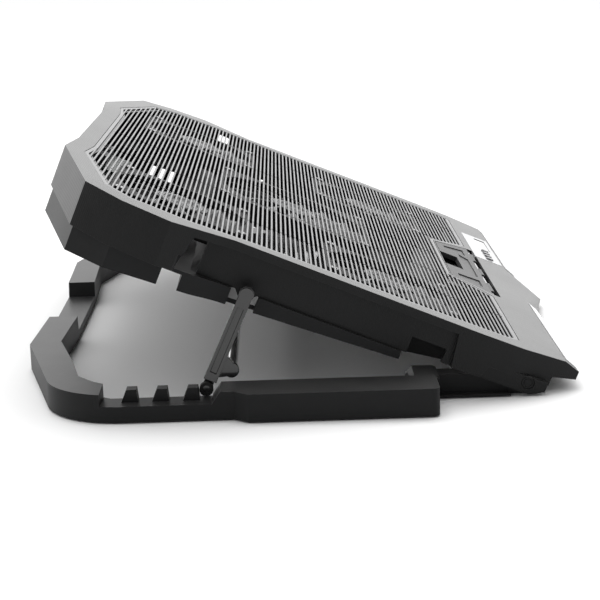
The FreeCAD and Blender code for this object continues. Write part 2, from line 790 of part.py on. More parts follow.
def impeller(label, across, along, width):
    # hub and seven raked blades, made about its own axis and then placed
    radius = width / 2 - 2 - blade_clearance
    low = fan_floor + 3.2
    depth = fan_thick - 4
    hub = doc.addObject("Part::Cylinder", "Hub")
    hub.setExpression("Radius", hub_radius.text)
    hub.setExpression("Height", as_size(depth).text)
    rim = doc.addObject("Part::Cylinder", "Sweep")
    rim.setExpression("Radius", radius.text)
    rim.setExpression("Height", as_size(depth).text)
    blades = []
    count = 7
    for index in range(count):
        blade = doc.addObject("Part::Box", "Blade")
        blade.setExpression("Length", (radius - hub_radius + 6).text)
        blade.setExpression("Width", "0.9")
        blade.setExpression("Height", (as_size(depth) * 1.9).text)
        turn = FreeCAD.Rotation(V(0, 0, 1), 360 / count * index)
        rake = FreeCAD.Rotation(V(1, 0, 0), 48)
        start = turn.multVec(V(hub_radius.value - 2, 0, depth.value / 2))
        start += turn.multVec(rake.multVec(V(0, -0.45, -0.95 * depth.value)))
        blade.Placement = FreeCAD.Placement(start, turn.multiply(rake))
        blades.append(blade)
    fan = doc.addObject("Part::MultiFuse", "Blades")
    fan.Shapes = blades
    trimmed = doc.addObject("Part::Common", "Trimmed")
    trimmed.Base = fan
    trimmed.Tool = rim
    whole = doc.addObject("Part::Fuse", "impeller_" + label + "_whole")
    whole.Base = hub
    whole.Tool = trimmed
    whole.Label = "impeller_" + label
    lean = rest_tilt
    whole.Placement = FreeCAD.Placement(V(), FreeCAD.Rotation(V(1, 0, 0), 10))
    whole.setExpression("Placement.Base.x", across.text)
    whole.setExpression("Placement.Base.y", (frame_shift + along * cosine(lean) - low * sine(lean)).text)
    whole.setExpression("Placement.Base.z", (pin_height + along * sine(lean) + low * cosine(lean)).text)
    whole.setExpression("Placement.Rotation.Angle", lean.text)
    SHAPES.append(whole)


def fan_screws():
    body = new_body("fan_screws", "deck")
    body.AllowCompound = True
    centres = []
    for label, across, along, width in fan_places():
        centres += fan_corners(across, along, width)
    pad(body, "XY", fan_top, [], fan_thick + fan_screw_bite, reverse=True,
        circles=[(centre, fan_screw_radius) for centre in centres])
    pad(body, "XY", fan_top, [], 0.9, circles=[(centre, 2 * fan_screw_radius) for centre in centres])


def shell_screws():
    body = new_body("shell_screws", "deck")
    body.AllowCompound = True
    for centre in post_places():
        low = screw_level(centre)
        pad(body, "XY", low + 0.2, [], 1.2, circles=[(centre, screw_head)])
        pad(body, "XY", low + 1.3, [], inner_top - low - 6, circles=[(centre, screw_radius)])


# ---- Deck: laptop stop, controls, sockets, trim --------------------------------

def laptop_stop():
    body = new_body("laptop_stop", "deck")
    top = deck_top - 0.1
    plate = both_sides([
        (stop_front_half, stop_front),
        (stop_back_half, stop_front + stop_length),
    ])
    pad(body, "XY", top - stop_thick, [plate], stop_thick)
    knuckles = [rectangle(as_size(a), as_size(b), stop_axis, stop_front + 2)
                for a, b in ((-50, -30), (-8, 8), (30, 50))]
    pad(body, "XY", top - stop_thick, knuckles, 1.3)
    for centre in (-50, -8, 30):
        width = 16 if centre == -8 else 20
        pad(body, "YZ", centre, [], width, circles=[((stop_axis, stop_height), stop_pin_radius + 0.9)])
    hole_back = stop_front + stop_length - 1.5
    hole = rectangle(-finger_half, finger_half, hole_back - finger_depth, hole_back + 5)
    cut(body, "XY", deck_top + 1, [hole], 14)
    bore = stop_pin_radius + running_clearance
    cut(body, "YZ", 0, [], 4 * stop_front_half, symmetric=True,
        circles=[((stop_axis, stop_height), bore)])
    emblem = both_sides([(as_size(24), stop_front + 3.5), (as_size(30), stop_front + 9)])
    cut(body, "XY", deck_top + 1, [emblem], 1.7)
    for sign in (1, -1):
        wedge = [(sign * 34.0, stop_front + 4), (sign * 50.0, stop_front + 4), (sign * 42.0, stop_front + 17),
                 (sign * 36.0, stop_front + 17)]
        cut(body, "XY", deck_top + 1, [wedge], 1.7)


def stop_pin():
    pin = doc.addObject("Part::Cylinder", "stop_pin_rod")
    pin.Label = "stop_pin"
    length = 2 * stop_front_half + 3
    pin.setExpression("Radius", stop_pin_radius.text)
    pin.setExpression("Height", length.text)
    pin.Placement = FreeCAD.Placement(V(), FreeCAD.Rotation(V(0, 1, 0), 90))
    pin.setExpression("Placement.Base.x", (-(length / 2)).text)
    pin.setExpression("Placement.Base.y", (frame_shift + stop_axis * cosine(rest_tilt)
                                           - stop_height * sine(rest_tilt)).text)
    pin.setExpression("Placement.Base.z", (pin_height + stop_axis * sine(rest_tilt)
                                           + stop_height * cosine(rest_tilt)).text)
    SHAPES.append(pin)


def lcd_room(gap):
    middle = bezel_centre + bezel_width / 2 - 6 - lcd_width / 2
    return rectangle(middle - lcd_width / 2 - gap, middle + lcd_width / 2 + gap,
                     -4.6 - lcd_depth - gap, -4.6 + gap)


def control_bezel():
    body = new_body("control_bezel", "deck")
    plate = rectangle(bezel_centre - bezel_width / 2, bezel_centre + bezel_width / 2,
                      -bezel_front, bezel_depth - bezel_front)
    pad(body, "XY", deck_top - bezel_thick + 0.1, [plate], bezel_thick)
    cut(body, "XY", deck_top + 1, [lcd_room(0)], 4)
    cut(body, "XY", deck_top + 1, [], 4,
        circles=[(centre, button_radius + 0.2) for centre in button_places()])


def lcd_window():
    body = new_body("lcd_window", "deck")
    pad(body, "XY", deck_top - bezel_thick + 0.1, [lcd_room(-0.1)], bezel_thick - 0.3)


def buttons():
    for index, centre in enumerate(button_places(), 1):
        body = new_body(f"button_{index}", "deck")
        foot = inner_top - 1
        pad(body, "XY", foot, [], deck_top + 0.9 - foot, circles=[(centre, button_radius)])


def control_board():
    body = new_body("control_board", "deck")
    top = inner_top - 1 - button_travel - 0.2
    front, back, step = as_size(-12), as_size(16), as_size(-0.8)
    left, right, inner = bezel_centre - 36, bezel_centre + 36, block_half + 1.5
    board = [(left, front), (right, front), (right, back), (inner, back), (inner, step), (left, step)]
    pad(body, "XY", top, [board], 1.6, reverse=True)
    chips = [rectangle(inner + 3, inner + 15, as_size(2), as_size(12)),
             rectangle(inner + 24, inner + 32, as_size(5), as_size(11))]
    pad(body, "XY", top - 1.6, chips, 1.2, reverse=True)


def usb_parts():
    for index, centre in enumerate(usb_places()):
        side = ("left", "right")[index]
        body = new_body(f"usb_socket_{side}", "deck")
        low, high = -2.9, 2.9
        front, back = deck_back - 18.5, deck_back - bay_depth - 0.4
        shell = rectangle(front, back, as_size(low), as_size(high))
        pad(body, "YZ", centre, [shell], 13.4, symmetric=True)
        room = rectangle(front + 6, back + 2, as_size(low + 0.5), as_size(high - 0.5))
        cut(body, "YZ", centre, [room], 12.4, symmetric=True)
        doc.recompute()
    body = new_body("usb_board", "deck")
    board = rectangle(as_size(-26), as_size(26), deck_back - 30, deck_back - 7)
    pad(body, "XY", as_size(-2.9), [board], 1.6, reverse=True)


def trim_strip(rise):
    # section of a strip sunk in the slanting nose, with its top at a height over its floor
    slope = nose_drop / nose_run
    start, end = front_reach - 1.2, front_reach - nose_run + 1.6
    near = nose_edge + slope * 1.2 - 0.35
    far = nose_edge + slope * (nose_run - 1.6) - 0.35
    return [(-start, near), (-end, far), (-end, far + rise), (-start, near + rise)]


def front_trims():
    # thin strips lying on the slanting nose, each side of the prow
    for side, sign in (("right", 1), ("left", -1)):
        body = new_body(f"front_trim_{side}", "deck")
        strip = trim_strip(as_size(0.7))
        inner, outer = (prow_half + 3, nose_half - 4)
        if side == "right":
            pad(body, "YZ", inner, [strip], outer - inner)
        else:
            pad(body, "YZ", -inner, [strip], outer - inner, reverse=True)


# ---- Prop: two arms, a crossbar, feet and pivot pins ----------------------------

def prop_arms():
    for side, sign in (("right", 1), ("left", -1)):
        body = new_body(f"prop_arm_{side}", "prop")
        flip = sign < 0
        half = arm_width / 2
        bar = rectangle(as_size(0), arm_length - foot_radius - 1, -half, half)
        pad(body, "YZ", sign * arm_inner, [bar], arm_thick, reverse=flip)
        pad(body, "YZ", sign * arm_inner, [], arm_thick, reverse=flip,
            circles=[((as_size(0), as_size(0)), half + 0.4)])
        thin = arm_thick / 2
        tip = rectangle(arm_length - foot_radius - 2, arm_length, -half + 0.8, half - 0.8)
        pad(body, "YZ", sign * arm_inner, [tip], thin, reverse=flip)
        pad(body, "YZ", sign * arm_inner, [], thin, reverse=flip,
            circles=[((arm_length, as_size(0)), foot_radius - 0.5)])
        pad(body, "YZ", sign * arm_inner, [], arm_thick, reverse=flip,
            circles=[((arm_length, as_size(0)), foot_core)])
        bar_along = arm_length - crossbar_up
        heel = [(bar_along - 6, -half + 1), (bar_along + 6, -half + 1),
                (bar_along + 2.6, -crossbar_aside - 1), (bar_along - 2.6, -crossbar_aside - 1)]
        pad(body, "YZ", sign * arm_inner, [heel], thin, reverse=flip)
        pad(body, "YZ", sign * arm_inner, [], thin, reverse=flip,
            circles=[((bar_along, -crossbar_aside), crossbar_radius + 1)])
        channel = rectangle(as_size(7), arm_length - foot_radius - 5, as_size(-1.5), as_size(1.5))
        cut(body, "YZ", sign * (arm_outer - 1), [channel], 3, up=not flip)
        bore = prop_pin_radius + running_clearance
        cut(body, "YZ", sign * (arm_inner - 1), [], arm_thick + 3, up=not flip,
            circles=[((as_size(0), as_size(0)), bore)])
        foot = new_body(f"prop_foot_{side}", "prop")
        pad(foot, "YZ", sign * (arm_inner + thin + 0.1), [], thin + 0.3, reverse=flip,
            circles=[((arm_length, as_size(0)), foot_radius), ((arm_length, as_size(0)), foot_core)])


def prop_crossbar():
    body = new_body("prop_crossbar", "prop")
    pad(body, "YZ", 0, [], 2 * arm_inner, symmetric=True,
        circles=[((arm_length - crossbar_up, -crossbar_aside), crossbar_radius)])


def prop_pins():
    for side, sign in (("right", 1), ("left", -1)):
        body = new_body(f"prop_pin_{side}", "deck")
        flip = sign < 0
        centre = (pivot_reach, -pivot_drop)
        pad(body, "YZ", sign * (inner_half + 0.4), [], arm_outer - inner_half + 1, reverse=flip,
            circles=[(centre, prop_pin_radius)])
        pad(body, "YZ", sign * (arm_outer + 0.3), [], 1.1, reverse=flip,
            circles=[(centre, prop_pin_radius + 1.2)])


# ---- Base: ring, feet and hinge pins --------------------------------------------

def base_frame():
    body = new_body("base_frame", "base")
    bottom = foot_proud
    outer = [
        (rail_outer, rail_front), (rail_outer, rail_step), (rail_waist, rail_step + 6.5),
        (rail_waist, base_back - base_corner_drop), (base_horn_half, base_back),
        (grip_half, base_back - 2),
    ]
    inner = [
        (grip_half + 1, base_back - 2 - rear_rail), (base_horn_half - 5, base_back - rear_rail),
        (rail_inner - 44, base_back - rear_rail - 10.8), (rail_inner - 17, base_back - rear_rail - 16.5),
        (rail_inner - 6, base_back - rear_rail - 25), (rail_inner, base_back - rear_rail - 33),
        (rail_inner, rail_front),
    ]
    ring = outer + list(reversed(mirrored(outer))) + list(reversed(mirrored(inner))) + inner
    pad(body, "XY", bottom, [ring], rail_height - bottom)
    corner = V(rail_waist.value, (base_back - base_corner_drop).value, 5)
    round_edges(body, [corner, V(-corner.x, corner.y, corner.z)], corner_radius, vertical=True)
    front = V(rail_outer.value, rail_front.value, 5)
    round_edges(body, [front, V(-front.x, front.y, front.z)], 3, vertical=True)

    tongue = [
        (tongue_inner, -tongue_front), (tongue_outer - 5, -tongue_front), (tongue_outer, as_size(2)),
        (tongue_outer, rail_front),
        (rail_inner + 1, rail_front), (rail_inner + 1, rail_front + 13),
        (tongue_inner + 6.5, rail_front + 13), (tongue_inner, rail_front + 7),
    ]
    pad(body, "XY", bottom, [tongue, list(reversed(mirrored(tongue)))], tongue_height - bottom)
    hump = [(rail_front - 1.8, tongue_height - 1), (rail_front - 1.8, hump_height - 0.7),
            (rail_front + 0.4, hump_height), (rail_front + 9.5, hump_height),
            (rail_front + 12.5, tongue_height - 1)]
    side_pads(body, hump, tongue_inner, rail_inner + 0.5)
    flange = rectangle(tongue_outer - 1, side_half - 1.5, as_size(8), rail_front + 1)
    pad(body, "XY", bottom, [flange, list(reversed(mirrored(flange)))], 0.9)
    for sign in (1, -1):
        cut(body, "YZ", sign * (tongue_inner - 1), [], tongue_width + 2, up=sign > 0,
            circles=[((as_size(0), pin_height), pin_radius)])

    # finger grip in the middle of the rear rail
    sketch = new_sketch(body, "XZ", -(base_back + 5))
    add_loop(sketch, [(-grip_half, rail_height + 1), (-grip_half + 2, grip_floor),
                      (grip_half - 2, grip_floor), (grip_half, rail_height + 1)])
    feature(body, "Pocket", sketch, rear_rail + 12, reverse=True)

    # stepped pockets for the prop's feet, and the teeth between the steps
    front_end = slot_first - slot_room / 2 + 0.2
    back_end = slot_first + 3 * slot_pitch + slot_room / 2 + 3
    trough = [(back_end, rail_height + 1), (back_end, slot_floor), (front_end, slot_floor),
              (front_end - 4.6, rail_height + 1)]
    side_cuts(body, trough, rail_inner - 3, rail_outer)
    low = slot_floor - ledge_drop
    ledge_cut = [(back_end, slot_floor + 1), (back_end, low), (front_end, low), (front_end, slot_floor + 1)]
    side_cuts(body, ledge_cut, rail_inner - 3, arm_outer + 0.5)
    near = arm_outer + 0.6
    for index in range(3):
        start = slot_first + slot_pitch * index + slot_room / 2 - 0.2
        tooth = [(start, slot_floor - 0.5), (start + slot_pitch - slot_room, slot_floor - 0.5),
                 (start + slot_pitch - slot_room - 2.6, rail_height + 0.4), (start + 0.7, rail_height + 0.4)]
        side_pads(body, tooth, near, near + tooth_thick)

    # recesses under the rails that save material
    hollow = rectangle(rail_inner + 4, rail_waist - 1, rail_front + 26, slot_first - 12)
    cut(body, "XY", 0, [hollow, list(reversed(mirrored(hollow)))], 9, up=True)


def base_feet():
    places = [(rail_inner + 11.5, rail_front + 13), (rail_inner + 9, slot_first + 22),
              (base_horn_half - 12, base_back - rear_rail / 2 - 1)]
    body = new_body("base_feet", "base")
    body.AllowCompound = True
    circles = []
    for across, along in places:
        for sign in (1, -1):
            circles.append(((sign * across, along), as_size(5.5)))
    pad(body, "XY", 0, [], foot_proud, circles=circles)


def hinge_pins():
    for side, sign in (("right", 1), ("left", -1)):
        body = new_body(f"hinge_pin_{side}", "base")
        flip = sign < 0
        centre = (as_size(0), pin_height)
        outer = side_half - 1.5
        pad(body, "YZ", sign * (tongue_inner + 0.5), [], outer - tongue_inner - 0.9, reverse=flip,
            circles=[(centre, pin_radius)])
        pad(body, "YZ", sign * (outer - pin_head_depth), [], pin_head_depth - 0.3, reverse=flip,
            circles=[(centre, pin_head_radius)])


def pads_under_deck():
    # two rubber bumpers that meet the rear rail when the deck is folded
    body = new_body("deck_bumpers", "deck")
    body.AllowCompound = True
    along = deck_back - 15
    circles = [((sign * (grip_half + 40), along), bumper_radius) for sign in (1, -1)]
    pad(body, "XY", keel(along + bumper_radius), [], 2.0, reverse=True, circles=circles)


# ---- Build, check and write -----------------------------------------------------

upper_shell()
lower_shell()
mesh_panel()
for fan in fan_places():
    fan_frame(*fan)
    impeller(*fan)
fan_screws()
shell_screws()
laptop_stop()
stop_pin()
control_bezel()
lcd_window()
buttons()
control_board()
usb_parts()
front_trims()
pads_under_deck()
prop_arms()
prop_crossbar()
prop_pins()
base_frame()
base_feet()
hinge_pins()
doc.recompute()

for item in doc.Objects:
    if "Invalid" in item.State or "Error" in item.State:
        raise RuntimeError(f"{item.Label} failed: {item.State}")
os.makedirs("parts", exist_ok=True)
for item in SHAPES:
    shape = item.Shape
    if shape.isNull() or not shape.isValid():
        raise RuntimeError(f"{item.Label} has no valid shape")
    shape.exportStep(f"parts/{item.Label}.step")
    box = shape.BoundBox
    print(f"{item.Label}: {len(shape.Solids)} solids, {shape.Volume:.0f} mm3, "
          f"x {box.XMin:.1f} {box.XMax:.1f} y {box.YMin:.1f} {box.YMax:.1f} z {box.ZMin:.1f} {box.ZMax:.1f}")
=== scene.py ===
import json
import math
import bmesh
import bpy
from mathutils import Matrix, Vector


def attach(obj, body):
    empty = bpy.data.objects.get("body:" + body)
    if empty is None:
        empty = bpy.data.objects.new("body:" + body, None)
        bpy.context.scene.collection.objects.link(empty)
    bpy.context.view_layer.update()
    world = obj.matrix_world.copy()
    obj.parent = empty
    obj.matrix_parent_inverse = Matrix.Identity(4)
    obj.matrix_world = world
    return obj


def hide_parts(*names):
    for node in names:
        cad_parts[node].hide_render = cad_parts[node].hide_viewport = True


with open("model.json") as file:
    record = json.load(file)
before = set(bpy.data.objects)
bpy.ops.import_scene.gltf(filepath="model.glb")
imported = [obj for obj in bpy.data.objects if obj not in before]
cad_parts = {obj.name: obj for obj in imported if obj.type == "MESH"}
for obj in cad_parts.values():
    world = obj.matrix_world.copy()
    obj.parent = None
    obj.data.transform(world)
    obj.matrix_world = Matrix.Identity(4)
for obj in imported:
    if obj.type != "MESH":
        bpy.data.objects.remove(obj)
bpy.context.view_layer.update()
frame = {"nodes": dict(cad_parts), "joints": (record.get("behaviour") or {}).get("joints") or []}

nodes = frame["nodes"]
joints = {joint["name"]: joint for joint in frame["joints"]}
fanNames = ("front_right", "front_left", "back_right", "back_left", "middle")

# The deck's own frame: origin on the hinge axis, y along the deck, z square to its top.
deckTilt = math.radians(22.9)
hingePlace = Vector(joints["deck_tilt"]["pos_m"])
deckFrame = Matrix.Translation(hingePlace) @ Matrix.Rotation(deckTilt, 4, "X")
toDeck = deckFrame.inverted()
mm = 0.001
print("frame loaded")


# camera, floor and light

cameraPlace = {"position": (-0.9052, 0.0077, 0.2176), "down": 13.007, "aside": -0.528,
               "roll": 1.697, "lens": 98.4}
studio = {"floorSize": 60.0, "floorShade": 0.9, "skyDim": 0.42, "skyBright": 1.8,
          "panels": [{"at": (0.5, 0.1, 1.9), "aim": (0, 0, 0), "size": 1.5, "power": 20},
                     {"at": (-1.1, 1.2, 0.9), "aim": (0, 0.1, 0.05), "size": 0.7, "power": 1.5}]}


def placeCamera(settings):
    down, aside, roll = (math.radians(settings[key]) for key in ("down", "aside", "roll"))
    ahead = Vector((math.cos(down) * math.cos(aside), math.cos(down) * math.sin(aside), -math.sin(down)))
    right = Vector((math.sin(aside), -math.cos(aside), 0))
    below = ahead.cross(right)
    across = math.cos(roll) * right + math.sin(roll) * below
    under = math.cos(roll) * below - math.sin(roll) * right
    data = bpy.data.cameras.new("camera")
    data.lens = settings["lens"]
    data.clip_start = 0.05
    camera = bpy.data.objects.new("camera", data)
    bpy.context.scene.collection.objects.link(camera)
    turn = Matrix((across, -under, -ahead)).transposed().to_4x4()
    camera.matrix_world = Matrix.Translation(settings["position"]) @ turn
    bpy.context.scene.camera = camera


def layFloor(settings):
    half = settings["floorSize"] / 2
    mesh = bpy.data.meshes.new("floor")
    corners = [(-half, -half, 0), (half, -half, 0), (half, half, 0), (-half, half, 0)]
    mesh.from_pydata(corners, [], [(0, 1, 2, 3)])
    floor = bpy.data.objects.new("floor", mesh)
    bpy.context.scene.collection.objects.link(floor)
    material = bpy.data.materials.new("paleFloor")
    material.use_nodes = True
    shader = material.node_tree.nodes["Principled BSDF"]
    shade = settings["floorShade"]
    shader.inputs["Base Color"].default_value = (shade, shade, shade, 1)
    shader.inputs["Roughness"].default_value = 0.9
    shader.inputs["Specular IOR Level"].default_value = 0.2
    mesh.materials.append(material)


def lightStudio(settings):
    bpy.context.scene.view_settings.view_transform = "Standard"
    world = bpy.data.worlds.new("softSky")
    bpy.context.scene.world = world
    world.use_nodes = True
    tree = world.node_tree
    place = tree.nodes.new("ShaderNodeTexCoord").outputs["Generated"]
    parts = tree.nodes.new("ShaderNodeSeparateXYZ")
    tree.links.new(place, parts.inputs["Vector"])
    # dim on the near side, bright behind the object
    fade = tree.nodes.new("ShaderNodeMapRange")
    fade.interpolation_type = "SMOOTHSTEP"
    limits = {"From Min": -0.5, "From Max": 0.6,
              "To Min": settings["skyDim"], "To Max": settings["skyBright"]}
    for label, value in limits.items():
        fade.inputs[label].default_value = value
    tree.links.new(parts.outputs["X"], fade.inputs["Value"])
    tree.links.new(fade.outputs["Result"], tree.nodes["Background"].inputs["Strength"])
    tree.nodes["Background"].inputs["Color"].default_value = (1, 1, 1, 1)
    for panel in settings["panels"]:
        data = bpy.data.lights.new("panel", "AREA")
        data.size = panel["size"]
        data.energy = panel["power"]
        light = bpy.data.objects.new("panel", data)
        bpy.context.scene.collection.objects.link(light)
        light.location = panel["at"]
        aim = Vector(panel["aim"]) - Vector(panel["at"])
        light.rotation_euler = aim.to_track_quat("-Z", "Y").to_euler()


placeCamera(cameraPlace)
layFloor(studio)
lightStudio(studio)
print("camera, floor and light set")


# shared shader effects

def newGroup(name, inputs, outputs):
    group = bpy.data.node_groups.new(name, "ShaderNodeTree")
    for label, value in inputs:
        socket = group.interface.new_socket(label, in_out="INPUT", socket_type="NodeSocketFloat")
        socket.default_value = value
    for label in outputs:
        group.interface.new_socket(label, in_out="OUTPUT", socket_type="NodeSocketFloat")
    return group, group.nodes.new("NodeGroupInput"), group.nodes.new("NodeGroupOutput")


def mathNode(tree, operation, first, second=None, third=None):
    node = tree.nodes.new("ShaderNodeMath")
    node.operation = operation
    for socket, value in zip(node.inputs, (first, second, third)):
        if value is None:
            continue
        if isinstance(value, (int, float)):
            socket.default_value = value
        else:
            tree.links.new(value, socket)
    return node.outputs[0]


def noiseNode(tree, place, scale, detail=3.0, roughness=0.5):
    node = tree.nodes.new("ShaderNodeTexNoise")
    tree.links.new(place, node.inputs["Vector"])
    if isinstance(scale, (int, float)):
        node.inputs["Scale"].default_value = scale
    else:
        tree.links.new(scale, node.inputs["Scale"])
    node.inputs["Detail"].default_value = detail
    node.inputs["Roughness"].default_value = roughness
    return node.outputs["Fac"]


def mouldGrainGroup():
    # spark-eroded grain of moulded plastic, with slow cloudy variation
    group, inputs, outputs = newGroup("mouldGrain", [("Scale", 900), ("Depth", 1)], ["Height", "Cloud"])
    place = group.nodes.new("ShaderNodeTexCoord").outputs["Object"]
    fine = noiseNode(group, place, inputs.outputs["Scale"], 4, 0.65)
    cells = group.nodes.new("ShaderNodeTexVoronoi")
    group.links.new(place, cells.inputs["Vector"])
    group.links.new(inputs.outputs["Scale"], cells.inputs["Scale"])
    grain = mathNode(group, "ADD", fine, mathNode(group, "MULTIPLY", cells.outputs["Distance"], 0.6))
    group.links.new(mathNode(group, "MULTIPLY", grain, inputs.outputs["Depth"]), outputs.inputs["Height"])
    group.links.new(noiseNode(group, place, 14, 4, 0.6), outputs.inputs["Cloud"])
    return group


def hatchGroup():
    # fine combed lines that run across the deck, broken up along their length
    group, inputs, outputs = newGroup("combedLines", [("Pitch", 0.0008), ("Break Up", 0.5)], ["Height"])
    place = group.nodes.new("ShaderNodeTexCoord").outputs["Object"]
    turn = group.nodes.new("ShaderNodeMapping")
    turn.inputs["Rotation"].default_value = (-deckTilt, 0, 0)
    group.links.new(place, turn.inputs["Vector"])
    parts = group.nodes.new("ShaderNodeSeparateXYZ")
    group.links.new(turn.outputs["Vector"], parts.inputs["Vector"])
    row = mathNode(group, "DIVIDE", parts.outputs["Y"], inputs.outputs["Pitch"])
    angle = mathNode(group, "MULTIPLY", row, 2 * math.pi)
    wave = mathNode(group, "SINE", angle)
    stretch = group.nodes.new("ShaderNodeMapping")
    stretch.inputs["Scale"].default_value = (60, 2500, 2500)
    group.links.new(turn.outputs["Vector"], stretch.inputs["Vector"])
    streak = noiseNode(group, stretch.outputs["Vector"], 1, 2)
    ridge = mathNode(group, "MULTIPLY", wave, 0.5)
    mixed = mathNode(group, "MULTIPLY_ADD", streak, inputs.outputs["Break Up"], ridge)
    group.links.new(mixed, outputs.inputs["Height"])
    return group


def edgeWearGroup():
    # a mask along rounded edges, broken by noise
    group, inputs, outputs = newGroup("edgeWear", [("Radius", 0.0006), ("Amount", 1)], ["Mask"])
    rounded = group.nodes.new("ShaderNodeBevel")
    rounded.samples = 4
    group.links.new(inputs.outputs["Radius"], rounded.inputs["Radius"])
    geometry = group.nodes.new("ShaderNodeNewGeometry")
    match = group.nodes.new("ShaderNodeVectorMath")
    match.operation = "DOT_PRODUCT"
    group.links.new(rounded.outputs["Normal"], match.inputs[0])
    group.links.new(geometry.outputs["Normal"], match.inputs[1])
    bend = mathNode(group, "MULTIPLY", mathNode(group, "SUBTRACT", 1.0, match.outputs["Value"]), 5)
    place = group.nodes.new("ShaderNodeTexCoord").outputs["Object"]
    patch = noiseNode(group, place, 180, 3)
    mask = mathNode(group, "MULTIPLY", mathNode(group, "MULTIPLY", bend, patch), inputs.outputs["Amount"])
    group.links.new(mathNode(group, "MINIMUM", mask, 1.0), outputs.inputs["Mask"])
    return group


def dustGroup():
    # light dust on faces that look up
    group, inputs, outputs = newGroup("settledDust", [("Amount", 0.1)], ["Mask"])
    geometry = group.nodes.new("ShaderNodeNewGeometry")
    parts = group.nodes.new("ShaderNodeSeparateXYZ")
    group.links.new(geometry.outputs["Normal"], parts.inputs["Vector"])
    place = group.nodes.new("ShaderNodeTexCoord").outputs["Object"]
    patch = noiseNode(group, place, 60, 6, 0.7)
    up = mathNode(group, "MAXIMUM", parts.outputs["Z"], 0.0)
    mask = mathNode(group, "MULTIPLY", mathNode(group, "MULTIPLY", up, patch), inputs.outputs["Amount"])
    group.links.new(mask, outputs.inputs["Mask"])
    return group


mouldGrain, combedLines, edgeWear, settledDust = mouldGrainGroup(), hatchGroup(), edgeWearGroup(), dustGroup()


def placeGroup(tree, group, **values):
    node = tree.nodes.new("ShaderNodeGroup")
    node.node_tree = group
    for label, value in values.items():
        node.inputs[label.replace("_", " ")].default_value = value
    return node


# materials

def mixShade(tree, mask, first, second):
    mix = tree.nodes.new("ShaderNodeMix")
    mix.data_type = "RGBA"
    tree.links.new(mask, mix.inputs["Factor"])
    for socket, value in ((mix.inputs["A"], first), (mix.inputs["B"], second)):
        if isinstance(value, tuple):
            socket.default_value = (*value, 1)
        else:
            tree.links.new(value, socket)
    return mix.outputs["Result"]


def finishMaterial(name, look):
    # a grained, slightly worn surface; look says how it differs from the next
    material = bpy.data.materials.new(name)
    material.use_nodes = True
    tree = material.node_tree
    shader = tree.nodes["Principled BSDF"]
    grain = placeGroup(tree, mouldGrain, Scale=look.get("grainScale", 900.0), Depth=1.0)
    wear = placeGroup(tree, edgeWear, Radius=look.get("wearRadius", 0.0006), Amount=look.get("wear", 0.5))
    dust = placeGroup(tree, settledDust, Amount=look.get("dust", 0.08))
    cloud = grain.outputs["Cloud"]
    base = mixShade(tree, cloud, look["dark"], look["light"])
    worn = mixShade(tree, wear.outputs["Mask"], base, look.get("worn", look["light"]))
    dusty = mixShade(tree, dust.outputs["Mask"], worn, (0.42, 0.41, 0.4))
    tree.links.new(dusty, shader.inputs["Base Color"])
    rough = mathNode(tree, "MULTIPLY_ADD", cloud, look.get("roughSpread", 0.12), look["rough"])
    dulled = mathNode(tree, "MULTIPLY_ADD", dust.outputs["Mask"], 0.4, rough)
    tree.links.new(dulled, shader.inputs["Roughness"])
    shader.inputs["Metallic"].default_value = look.get("metal", 0.0)
    shader.inputs["Specular IOR Level"].default_value = look.get("specular", 0.28)
    shader.inputs["Coat Weight"].default_value = look.get("coat", 0.0)
    shader.inputs["Coat Roughness"].default_value = look.get("coatRough", 0.08)
    if "topCoat" in look:
        # faces that look up are glossier than the sides
        geometry = tree.nodes.new("ShaderNodeNewGeometry")
        parts = tree.nodes.new("ShaderNodeSeparateXYZ")
        tree.links.new(geometry.outputs["Normal"], parts.inputs["Vector"])
        rise = mathNode(tree, "MULTIPLY_ADD", parts.outputs["Z"], 2.5, -1.25)
        clamped = mathNode(tree, "MINIMUM", mathNode(tree, "MAXIMUM", rise, 0.0), 1.0)
        tree.links.new(mathNode(tree, "MULTIPLY", clamped, look["topCoat"]), shader.inputs["Coat Weight"])
    height = grain.outputs["Height"]
    if look.get("hatch"):
        lines = placeGroup(tree, combedLines, Pitch=look["hatch"], Break_Up=0.8)
        height = mathNode(tree, "MULTIPLY_ADD", height, 0.35, lines.outputs["Height"])
    bump = tree.nodes.new("ShaderNodeBump")
    bump.inputs["Strength"].default_value = look.get("bump", 0.25)
    bump.inputs["Distance"].default_value = look.get("bumpDepth", 0.00008)
    tree.links.new(height, bump.inputs["Height"])
    tree.links.new(bump.outputs["Normal"], shader.inputs["Normal"])
    return material


